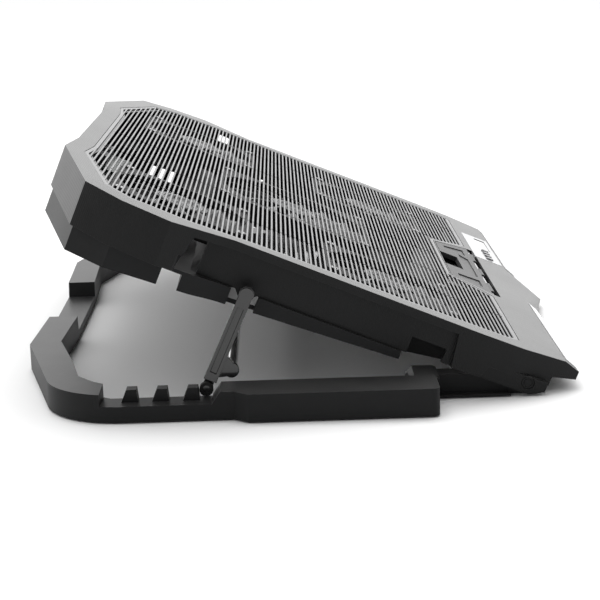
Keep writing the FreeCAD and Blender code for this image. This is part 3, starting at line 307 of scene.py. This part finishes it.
looks = {
    "shellPlastic": {"dark": (0.007, 0.0072, 0.0074), "light": (0.013, 0.0133, 0.0135), "rough": 0.3,
                     "hatch": 0.0009, "bump": 0.5, "wear": 0.35, "worn": (0.04, 0.04, 0.041),
                     "specular": 0.14, "topCoat": 0.42, "coatRough": 0.32},
    "basePlastic": {"dark": (0.009, 0.0093, 0.0096), "light": (0.016, 0.0164, 0.0168), "rough": 0.4,
                    "grainScale": 1100.0, "bump": 0.3, "wear": 0.35, "worn": (0.04, 0.04, 0.041),
                    "specular": 0.12, "topCoat": 0.3, "coatRough": 0.35},
    "meshMetal": {"dark": (0.1, 0.1, 0.102), "light": (0.14, 0.14, 0.142), "rough": 0.26, "metal": 0.6,
                  "grainScale": 2600.0, "bump": 0.12, "wear": 0.1, "dust": 0.02, "specular": 0.9},
    "fanPlastic": {"dark": (0.008, 0.008, 0.008), "light": (0.014, 0.014, 0.014), "rough": 0.45,
                   "dust": 0.02},
    "impellerPlastic": {"dark": (0.012, 0.012, 0.013), "light": (0.02, 0.02, 0.021), "rough": 0.28,
                        "coat": 0.3, "dust": 0.02},
    "plainSteel": {"dark": (0.42, 0.42, 0.43), "light": (0.6, 0.6, 0.6), "rough": 0.26, "metal": 1.0,
                   "grainScale": 3000.0, "bump": 0.1, "dust": 0.0},
    "stopPlastic": {"dark": (0.028, 0.028, 0.029), "light": (0.042, 0.042, 0.043), "rough": 0.36,
                    "wear": 0.6, "worn": (0.1, 0.1, 0.1)},
    "panelPlastic": {"dark": (0.3, 0.305, 0.31), "light": (0.36, 0.365, 0.37), "rough": 0.22, "coat": 0.4,
                     "bump": 0.08, "dust": 0.02, "worn": (0.45, 0.45, 0.45)},
    "keyPlastic": {"dark": (0.12, 0.12, 0.125), "light": (0.16, 0.16, 0.165), "rough": 0.3, "coat": 0.3,
                   "bump": 0.1, "worn": (0.25, 0.25, 0.25)},
    # pale strips that paint the highlight of the shell's front slant, where its bevel catches the light
    "paintedHighlightTrim": {"dark": (0.5, 0.5, 0.51), "light": (0.62, 0.62, 0.63), "rough": 0.18, "coat": 0.5,
                    "bump": 0.06, "dust": 0.02, "worn": (0.7, 0.7, 0.7)},
    "softRubber": {"dark": (0.01, 0.01, 0.01), "light": (0.02, 0.02, 0.02), "rough": 0.72, "specular": 0.3},
    "glossBlack": {"dark": (0.006, 0.006, 0.006), "light": (0.009, 0.009, 0.009), "rough": 0.1, "coat": 0.8,
                   "grainScale": 500.0, "bump": 0.05, "dust": 0.02, "roughSpread": 0.08},
    "boardLacquer": {"dark": (0.003, 0.014, 0.008), "light": (0.005, 0.022, 0.012), "rough": 0.3, "coat": 0.2,
                     "bump": 0.15, "dust": 0.01},
    "displayGlass": {"dark": (0.004, 0.005, 0.006), "light": (0.007, 0.008, 0.009), "rough": 0.06,
                     "coat": 0.6, "bump": 0.02, "dust": 0.01, "roughSpread": 0.04},
}


materials = {name: finishMaterial(name, look) for name, look in looks.items()}
print("materials made")


# mesh helpers

def linkMesh(name, mesh, material):
    piece = bpy.data.objects.new(name, mesh)
    bpy.context.scene.collection.objects.link(piece)
    mesh.materials.clear()
    mesh.materials.append(materials[material])
    return piece


def settle(piece):
    # turns the piece with its live modifiers into a plain mesh
    graph = bpy.context.evaluated_depsgraph_get()
    plain = bpy.data.meshes.new_from_object(piece.evaluated_get(graph))
    piece.modifiers.clear()
    piece.data = plain
    return piece


def smoothOver(piece, sharpest):
    piece.data.shade_smooth()
    piece.data.set_sharp_from_angle(angle=math.radians(sharpest))


def softenEdges(piece, width):
    bevel = piece.modifiers.new("soft edges", "BEVEL")
    bevel.width = width
    bevel.segments = 2
    bevel.limit_method = "ANGLE"
    bevel.angle_limit = math.radians(30)
    bevel.use_clamp_overlap = True
    piece.data.shade_smooth()
    weights = piece.modifiers.new("face weights", "WEIGHTED_NORMAL")
    weights.keep_sharp = True
    return settle(piece)


def roundedCopy(nodeName, pieceName, material, width):
    mesh = nodes[nodeName].data.copy()
    shape = bmesh.new()
    shape.from_mesh(mesh)
    bmesh.ops.remove_doubles(shape, verts=shape.verts, dist=4e-6)
    bmesh.ops.dissolve_limit(shape, angle_limit=math.radians(0.6), verts=shape.verts, edges=shape.edges)
    shape.to_mesh(mesh)
    shape.free()
    for label in ("custom_normal", "sharp_edge", "sharp_face"):
        if label in mesh.attributes:
            mesh.attributes.remove(mesh.attributes[label])
    piece = softenEdges(linkMesh(pieceName, mesh, material), width)
    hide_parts(nodeName)
    return piece


def islandCentres(nodeName):
    # middle and lowest and highest reach, in the deck's frame, of each separate solid of a node
    shape = bmesh.new()
    shape.from_mesh(nodes[nodeName].data)
    bmesh.ops.remove_doubles(shape, verts=shape.verts, dist=4e-6)
    shape.transform(toDeck)
    waiting = set(shape.verts)
    centres = []
    while waiting:
        island, edge = set(), [waiting.pop()]
        while edge:
            vert = edge.pop()
            island.add(vert)
            for link in vert.link_edges:
                other = link.other_vert(vert)
                if other in waiting:
                    waiting.discard(other)
                    edge.append(other)
        lows = [min(vert.co[axis] for vert in island) for axis in range(3)]
        highs = [max(vert.co[axis] for vert in island) for axis in range(3)]
        centres.append(((lows[0] + highs[0]) / 2, (lows[1] + highs[1]) / 2, lows[2], highs[2]))
    shape.free()
    return sorted(centres)


# Geometry Nodes helpers

def newTree(name, inputs):
    tree = bpy.data.node_groups.new(name, "GeometryNodeTree")
    tree.is_modifier = True
    tree.interface.new_socket("Geometry", in_out="INPUT", socket_type="NodeSocketGeometry")
    for label, kind, value in inputs:
        socket = tree.interface.new_socket(label, in_out="INPUT", socket_type="NodeSocket" + kind)
        if value is not None:
            socket.default_value = value
    tree.interface.new_socket("Geometry", in_out="OUTPUT", socket_type="NodeSocketGeometry")
    return tree, tree.nodes.new("NodeGroupInput").outputs, tree.nodes.new("NodeGroupOutput").inputs[0]


def geoNode(tree, kind, options=None, **values):
    # values are numbers, vectors or sockets, by input name with spaces as underscores
    node = tree.nodes.new(kind)
    for label, value in (options or {}).items():
        setattr(node, label, value)
    for label, value in values.items():
        name = label.replace("_", " ")
        socket = next(item for item in node.inputs if item.name == name and item.enabled)
        if isinstance(value, bpy.types.NodeSocket):
            tree.links.new(value, socket)
        else:
            socket.default_value = value
    return node


def vectorOf(tree, across=0.0, along=0.0, up=0.0):
    return geoNode(tree, "ShaderNodeCombineXYZ", X=across, Y=along, Z=up).outputs[0]


def joined(tree, *parts):
    node = tree.nodes.new("GeometryNodeJoinGeometry")
    for part in reversed(parts):
        tree.links.new(part, node.inputs[0])
    return node.outputs[0]


def finishTree(tree, shape, output, material):
    real = geoNode(tree, "GeometryNodeRealizeInstances", Geometry=shape)
    painted = geoNode(tree, "GeometryNodeSetMaterial", Geometry=real.outputs[0], Material=material)
    tree.links.new(painted.outputs[0], output)


def growPiece(name, mesh, tree, settings, material):
    # runs a tree on a mesh with the given inputs and keeps the plain result
    piece = bpy.data.objects.new(name, mesh)
    bpy.context.scene.collection.objects.link(piece)
    modifier = piece.modifiers.new(tree.name, "NODES")
    modifier.node_group = tree
    values = dict(settings, Material=materials[material])
    for item in tree.interface.items_tree:
        if item.in_out == "INPUT" and item.name in values:
            modifier[item.identifier] = values[item.name]
    return settle(piece)


def standOnDeck(piece, matrix=Matrix.Identity(4)):
    piece.data.transform(deckFrame @ matrix)
    return piece


# slotted panel

# Right half of the panel's outline in millimetres, front to back, then the notch for the stop.
panel = {"outline": [(160, 8), (164, 14), (167, 52), (168, 129.5), (169, 142.5), (174, 171.5),
                     (171, 201.5), (160, 214.5), (97, 231.5), (72, 229.3)],
         "notch": [(48, 30.4), (68, 8)], "rim": 2.0, "barEnds": 0.5, "wallHalf": 0.01,
         "top": 0.0142, "rimHeight": 0.0009,
         "bars": {"Rows": 91, "Pitch": 0.00245, "First Row": 0.0099, "Bar Width": 0.00105,
                  "Bar Height": 0.0009, "Grooves": 5, "Groove Pitch": 0.0575, "Groove Width": 0.0011}}


def panelLoop(inset):
    # the whole closed outline, each corner moved inwards along its mitre
    half = panel["notch"] + panel["outline"]
    loop = [Vector(point) for point in half] + [Vector((-x, y)) for x, y in reversed(half)]
    moved = []
    for index, point in enumerate(loop):
        before = (point - loop[index - 1]).normalized()
        after = (loop[(index + 1) % len(loop)] - point).normalized()
        mitre = Vector((-before.y - after.y, before.x + after.x))
        mitre = mitre.normalized() / max(0.4, math.cos(before.angle(after) / 2))
        moved.append((point + mitre * inset) * mm)
    return moved


def panelRim():
    outer, inner = panelLoop(0.0), panelLoop(panel["rim"])
    shape = bmesh.new()
    levels = []
    for loop, height in ((outer, 0), (inner, 0), (inner, panel["rimHeight"]), (outer, panel["rimHeight"])):
        base = panel["top"] - panel["rimHeight"]
        levels.append([shape.verts.new((point.x, point.y, base + height)) for point in loop])
    count = len(outer)
    for index in range(count):
        following = (index + 1) % count
        for level in range(4):
            low, high = levels[level], levels[(level + 1) % 4]
            shape.faces.new((low[index], low[following], high[following], high[index]))
    bmesh.ops.recalc_face_normals(shape, faces=shape.faces)
    mesh = bpy.data.meshes.new("panelRim")
    shape.to_mesh(mesh)
    shape.free()
    return softenEdges(linkMesh("panelRim", mesh, "meshMetal"), 0.0002)


def barTree():
    tree, given, output = newTree("panelBars", [
        ("Rows", "Int", 10), ("Pitch", "Float", 0.003), ("First Row", "Float", 0.0), ("Level", "Float", 0.0),
        ("Bar Width", "Float", 0.001), ("Bar Height", "Float", 0.001), ("Grooves", "Int", 5),
        ("Groove Pitch", "Float", 0.05), ("Groove Width", "Float", 0.001), ("Material", "Material", None)])
    start = vectorOf(tree, 0.0, given["First Row"], given["Level"])
    rows = geoNode(tree, "GeometryNodeMeshLine", Count=given["Rows"], Start_Location=start,
                   Offset=vectorOf(tree, 0.0, given["Pitch"])).outputs[0]
    spot = tree.nodes.new("GeometryNodeInputPosition").outputs[0]
    along = geoNode(tree, "ShaderNodeSeparateXYZ", Vector=spot).outputs["Y"]

    def edgeBeyond(source):
        ray = geoNode(tree, "GeometryNodeRaycast", Target_Geometry=given["Geometry"],
                      Source_Position=vectorOf(tree, source, along),
                      Ray_Direction=(-1.0, 0.0, 0.0), Ray_Length=1.0)
        return geoNode(tree, "ShaderNodeSeparateXYZ", Vector=ray.outputs["Hit Position"]).outputs["X"]

    far = edgeBeyond(0.5)
    near = mathNode(tree, "MAXIMUM", edgeBeyond(mathNode(tree, "SUBTRACT", far, 0.0005)), 0.0)
    reach = mathNode(tree, "SUBTRACT", far, near)
    rod = geoNode(tree, "GeometryNodeMeshCylinder", Vertices=10, Radius=0.5, Depth=1.0).outputs["Mesh"]
    lying = geoNode(tree, "GeometryNodeTransform", Geometry=rod, Translation=(0.5, 0.0, 0.0),
                    Rotation=(0.0, math.pi / 2, 0.0)).outputs[0]
    size = vectorOf(tree, reach, given["Bar Width"], given["Bar Height"])
    sides = []
    for start in (near, mathNode(tree, "MULTIPLY", far, -1.0)):
        moved = geoNode(tree, "GeometryNodeSetPosition", Geometry=rows,
                        Position=vectorOf(tree, start, along, given["Level"])).outputs[0]
        sides.append(geoNode(tree, "GeometryNodeInstanceOnPoints", Points=moved, Instance=lying,
                             Scale=size).outputs[0])
    bars = geoNode(tree, "GeometryNodeRealizeInstances", Geometry=joined(tree, *sides)).outputs[0]
    block = geoNode(tree, "GeometryNodeMeshCube", Size=(1.0, 1.0, 1.0)).outputs["Mesh"]
    width = mathNode(tree, "MULTIPLY", given["Groove Pitch"], -2.0)
    height = mathNode(tree, "ADD", given["Level"], mathNode(tree, "MULTIPLY", given["Bar Height"], 0.6))
    grooves = geoNode(tree, "GeometryNodeMeshLine", Count=given["Grooves"],
                      Start_Location=vectorOf(tree, width, 0.12, height),
                      Offset=vectorOf(tree, given["Groove Pitch"])).outputs[0]
    cutters = geoNode(tree, "GeometryNodeInstanceOnPoints", Points=grooves, Instance=block,
                      Scale=vectorOf(tree, given["Groove Width"], 0.3, given["Bar Height"])).outputs[0]
    cutters = geoNode(tree, "GeometryNodeRealizeInstances", Geometry=cutters).outputs[0]
    carved = geoNode(tree, "GeometryNodeMeshBoolean", {"operation": "DIFFERENCE"})
    tree.links.new(bars, carved.inputs["Mesh 1"])
    tree.links.new(cutters, carved.inputs["Mesh 2"])
    finishTree(tree, carved.outputs["Mesh"], output, given["Material"])
    return tree


def slottedPanel():
    loop = panelLoop(panel["barEnds"])
    mesh = bpy.data.meshes.new("panelOutline")
    count = len(loop)
    half = panel["wallHalf"]
    walls = []
    for index in range(count):
        following = (index + 1) % count
        walls.append((index, following, count + following, count + index))
    mesh.from_pydata([(point.x, point.y, level) for level in (-half, half) for point in loop], [], walls)
    settings = dict(panel["bars"], Level=panel["top"] - 0.5 * panel["bars"]["Bar Height"])
    bars = growPiece("panelBars", mesh, barTree(), settings, "meshMetal")
    smoothOver(bars, 50)
    for piece in (bars, panelRim()):
        standOnDeck(piece)
        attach(piece, "deck")
        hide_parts("mesh_panel")


slottedPanel()
print("slotted panel made")


# impellers

impellers = {"small": {"Blades": 9, "Hub Radius": 0.014, "Tip Radius": 0.0316, "Height": 0.006,
                       "Chord": 0.74, "Sweep": 0.42, "Thickness": 0.0009},
             "large": {"Blades": 11, "Hub Radius": 0.014, "Tip Radius": 0.0406, "Height": 0.006,
                       "Chord": 0.6, "Sweep": 0.5, "Thickness": 0.001},
             "rise": 0.0021}


def impellerTree():
    tree, given, output = newTree("impellerBlades", [
        ("Blades", "Int", 7), ("Hub Radius", "Float", 0.01), ("Tip Radius", "Float", 0.03),
        ("Height", "Float", 0.006), ("Chord", "Float", 0.7), ("Sweep", "Float", 0.4),
        ("Thickness", "Float", 0.001), ("Material", "Material", None)])
    block = geoNode(tree, "GeometryNodeMeshCube", Size=(1.0, 1.0, 1.0), Vertices_X=9, Vertices_Y=2,
                    Vertices_Z=7).outputs["Mesh"]
    spot = geoNode(tree, "ShaderNodeSeparateXYZ",
                   Vector=tree.nodes.new("GeometryNodeInputPosition").outputs[0])
    outward = mathNode(tree, "ADD", spot.outputs["X"], 0.5)
    root = mathNode(tree, "SUBTRACT", given["Hub Radius"], 0.001)
    span = mathNode(tree, "SUBTRACT", given["Tip Radius"], root)
    radius = mathNode(tree, "MULTIPLY_ADD", outward, span, root)
    lean = mathNode(tree, "MULTIPLY", mathNode(tree, "MULTIPLY", outward, outward), given["Sweep"])
    turn = mathNode(tree, "MULTIPLY_ADD", spot.outputs["Z"], given["Chord"], lean)
    offset = mathNode(tree, "MULTIPLY", spot.outputs["Y"], given["Thickness"])
    shift = mathNode(tree, "DIVIDE", offset, radius)
    angle = mathNode(tree, "ADD", turn, shift)
    flatten = mathNode(tree, "MULTIPLY_ADD", outward, -0.22, 0.92)
    level = mathNode(tree, "MULTIPLY", spot.outputs["Z"], flatten)
    height = mathNode(tree, "MULTIPLY", level, given["Height"])
    place = vectorOf(tree, mathNode(tree, "MULTIPLY", radius, mathNode(tree, "COSINE", angle)),
                     mathNode(tree, "MULTIPLY", radius, mathNode(tree, "SINE", angle)), height)
    blade = geoNode(tree, "GeometryNodeSetPosition", Geometry=block, Position=place).outputs[0]
    ring = geoNode(tree, "GeometryNodeMeshLine", Count=given["Blades"], Offset=(0.0, 0.0, 0.0)).outputs[0]
    step = mathNode(tree, "DIVIDE", 2 * math.pi, given["Blades"])
    spin = mathNode(tree, "MULTIPLY", tree.nodes.new("GeometryNodeInputIndex").outputs[0], step)
    blades = geoNode(tree, "GeometryNodeInstanceOnPoints", Points=ring, Instance=blade,
                     Rotation=vectorOf(tree, 0.0, 0.0, spin)).outputs[0]
    finishTree(tree, joined(tree, given["Geometry"], blades), output, given["Material"])
    return tree


def hubMesh(radius, height):
    # a capped hub with a shallow dished top and a rounded shoulder
    half = height / 2
    dish, chamfer = 0.0006, 0.0003
    profile = [(0.0, half - dish), (radius * 0.55, half - dish), (radius * 0.62, half),
               (radius - 0.001, half), (radius - chamfer, half - chamfer), (radius, half - 0.001),
               (radius, -half), (0.0, -half)]
    return lathe("hub", profile, 48)


def lathe(name, profile, steps):
    # turns a half section, listed from the axis round to the axis, about z
    shape = bmesh.new()
    verts = [shape.verts.new((across, 0, up)) for across, up in profile]
    edges = [shape.edges.new(pair) for pair in zip(verts, verts[1:])]
    bmesh.ops.spin(shape, geom=verts + edges, cent=(0, 0, 0), axis=(0, 0, 1), angle=2 * math.pi, steps=steps,
                   use_merge=True)
    bmesh.ops.remove_doubles(shape, verts=shape.verts, dist=1e-6)
    bmesh.ops.recalc_face_normals(shape, faces=shape.faces)
    mesh = bpy.data.meshes.new(name)
    shape.to_mesh(mesh)
    shape.free()
    return mesh


def makeImpellers():
    tree = impellerTree()
    for name in fanNames:
        settings = impellers["large" if name == "middle" else "small"]
        hub = hubMesh(settings["Hub Radius"], settings["Height"])
        piece = growPiece(f"impellerWheel_{name}", hub, tree, settings, "impellerPlastic")
        smoothOver(piece, 40)
        axle = toDeck @ Vector(joints[f"fan_spin_{name}"]["pos_m"])
        standOnDeck(piece, Matrix.Translation(axle + Vector((0, 0, impellers["rise"]))))
        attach(piece, f"fan_{name}")
        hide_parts(f"impeller_{name}")


makeImpellers()
print("impellers made")


# screws

screwKinds = {"fan_screws": {"piece": "fanScrews", "head": "up",
                             "sizes": {"Head Radius": 0.0026, "Head Height": 0.0009, "Shank Radius": 0.0013}},
              "shell_screws": {"piece": "shellScrews", "head": "down",
                               "sizes": {"Head Radius": 0.0028, "Head Height": 0.0012,
                                         "Shank Radius": 0.00125}}}


def screwTree():
    tree, given, output = newTree("crossHeadScrew", [
        ("Head Radius", "Float", 0.003), ("Head Height", "Float", 0.001), ("Shank Radius", "Float", 0.001),
        ("Length", "Float", 0.01), ("Turn Over", "Float", 0.0), ("Material", "Material", None)])
    head = geoNode(tree, "GeometryNodeMeshCylinder", Vertices=24, Radius=given["Head Radius"],
                   Depth=given["Head Height"]).outputs["Mesh"]
    lift = mathNode(tree, "MULTIPLY", given["Head Height"], -0.5)
    head = geoNode(tree, "GeometryNodeTransform", Geometry=head,
                   Translation=vectorOf(tree, 0.0, 0.0, lift)).outputs[0]
    slots = []
    wide = mathNode(tree, "MULTIPLY", given["Head Radius"], 1.15)
    thin = mathNode(tree, "MULTIPLY", given["Head Radius"], 0.22)
    for across, along in ((wide, thin), (thin, wide)):
        slots.append(geoNode(tree, "GeometryNodeMeshCube",
                             Size=vectorOf(tree, across, along, given["Head Height"])).outputs["Mesh"])
    carved = geoNode(tree, "GeometryNodeMeshBoolean", {"operation": "DIFFERENCE"})
    tree.links.new(head, carved.inputs["Mesh 1"])
    tree.links.new(joined(tree, *slots), carved.inputs["Mesh 2"])
    shank = geoNode(tree, "GeometryNodeMeshCylinder", Vertices=16, Radius=given["Shank Radius"],
                    Depth=given["Length"]).outputs["Mesh"]
    sink = mathNode(tree, "MULTIPLY_ADD", given["Length"], -0.5, mathNode(tree, "MULTIPLY", lift, 1.8))
    shank = geoNode(tree, "GeometryNodeTransform", Geometry=shank,
                    Translation=vectorOf(tree, 0.0, 0.0, sink)).outputs[0]
    spin = vectorOf(tree, given["Turn Over"], 0.0, mathNode(
        tree, "MULTIPLY", tree.nodes.new("GeometryNodeInputIndex").outputs[0], 0.7))
    screws = geoNode(tree, "GeometryNodeInstanceOnPoints", Points=given["Geometry"],
                     Instance=joined(tree, carved.outputs["Mesh"], shank), Rotation=spin).outputs[0]
    finishTree(tree, screws, output, given["Material"])
    return tree


def makeScrews():
    tree = screwTree()
    for nodeName, kind in screwKinds.items():
        places = islandCentres(nodeName)
        up = kind["head"] == "up"
        lengths = {}
        for across, along, low, high in places:
            length = round(high - low - kind["sizes"]["Head Height"] - 0.0001, 4)
            lengths.setdefault(length, []).append((across, along, high if up else low))
        for number, (length, points) in enumerate(sorted(lengths.items()), 1):
            mesh = bpy.data.meshes.new(kind["piece"])
            mesh.from_pydata(points, [], [])
            settings = dict(kind["sizes"], Length=length)
            settings["Turn Over"] = 0.0 if up else math.pi
            piece = growPiece(f"{kind['piece']}_{number}", mesh, tree, settings, "plainSteel")
            standOnDeck(piece)
            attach(piece, "deck")
            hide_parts(nodeName)


makeScrews()
print("screws made")


# hinge pins

hingePins = {"headRadius": 0.0031, "headDepth": 0.0015, "shankRadius": 0.0025, "grooveDepth": 0.0004,
             "outer": 0.1762, "inner": 0.1617}


def makeHingePins(settings):
    # a turned pin whose head has a ring groove in its face
    head, shank, deep = settings["headRadius"], settings["shankRadius"], settings["headDepth"]
    length = settings["outer"] - settings["inner"]
    groove, chamfer, point = settings["grooveDepth"], 0.0003, 0.0006
    profile = [(0.0, 0.0), (head * 0.5, 0.0), (head * 0.56, -groove), (head * 0.68, -groove),
               (head * 0.74, 0.0), (head - chamfer, 0.0), (head, -chamfer), (head, -deep), (shank, -deep),
               (shank, point - length), (shank - point, -length), (0.0, -length)]
    for side, name in ((1, "right"), (-1, "left")):
        piece = linkMesh(f"hingePinCap_{name}", lathe("hingePin", profile, 40), "basePlastic")
        outward = Matrix.Rotation(side * math.pi / 2, 4, "Y")
        piece.data.transform(Matrix.Translation((side * settings["outer"], *hingePlace.yz)) @ outward)
        smoothOver(piece, 40)
        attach(piece, "base")
        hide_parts(f"hinge_pin_{name}")


makeHingePins(hingePins)
print("hinge pins made")


# shells, base and prop with softened edges

softened = [
    # node, piece, body, look, slot, edge width
    ("upper_shell", "deckUpperShell", "deck", "shellPlastic", "shell_plastic", 0.0005),
    ("base_frame", "baseRing", "base", "basePlastic", "base_plastic", 0.0007),
    ("prop_arm_right", "propArmRight", "prop", "glossBlack", "gloss_black", 0.0005),
    ("prop_arm_left", "propArmLeft", "prop", "glossBlack", "gloss_black", 0.0005),
    ("laptop_stop", "laptopStopFlap", "stop_flap", "stopPlastic", "stop_plastic", 0.0003),
    ("control_bezel", "controlPanel", "deck", "panelPlastic", "panel_plastic", 0.0003),
    ("lower_shell", "deckLowerShell", "deck", "basePlastic", "shell_plastic", 0.0004),
    ("prop_crossbar", "propCrossbar", "prop", "glossBlack", "gloss_black", 0.0004),
]
for number in range(1, 5):
    key = f"button_{number}"
    softened.append((key, f"keyCap_{number}", f"{key}_key", "keyPlastic", "panel_plastic", 0.0004))
for nodeName, pieceName, body, look, slot, width in softened:
    piece = roundedCopy(nodeName, pieceName, look, width)
    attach(piece, body)
print("softened shells made")

plainLooks = {"stop_pin": "plainSteel", "prop_pin_right": "glossBlack", "prop_pin_left": "glossBlack",
              "usb_socket_left": "plainSteel", "usb_socket_right": "plainSteel", "lcd_window": "displayGlass",
              # the two front trim strips carry a painted highlight on the shell's slanted nose
              "control_board": "boardLacquer", "usb_board": "boardLacquer", "front_trim_right": "paintedHighlightTrim",
              "front_trim_left": "paintedHighlightTrim", "deck_bumpers": "softRubber", "base_feet": "softRubber",
              "prop_foot_right": "softRubber", "prop_foot_left": "softRubber"}
plainLooks.update({f"fan_frame_{name}": "fanPlastic" for name in fanNames})
for nodeName, look in plainLooks.items():
    mesh = nodes[nodeName].data
    mesh.materials.clear()
    mesh.materials.append(materials[look])
print("frame pieces given their finishes")
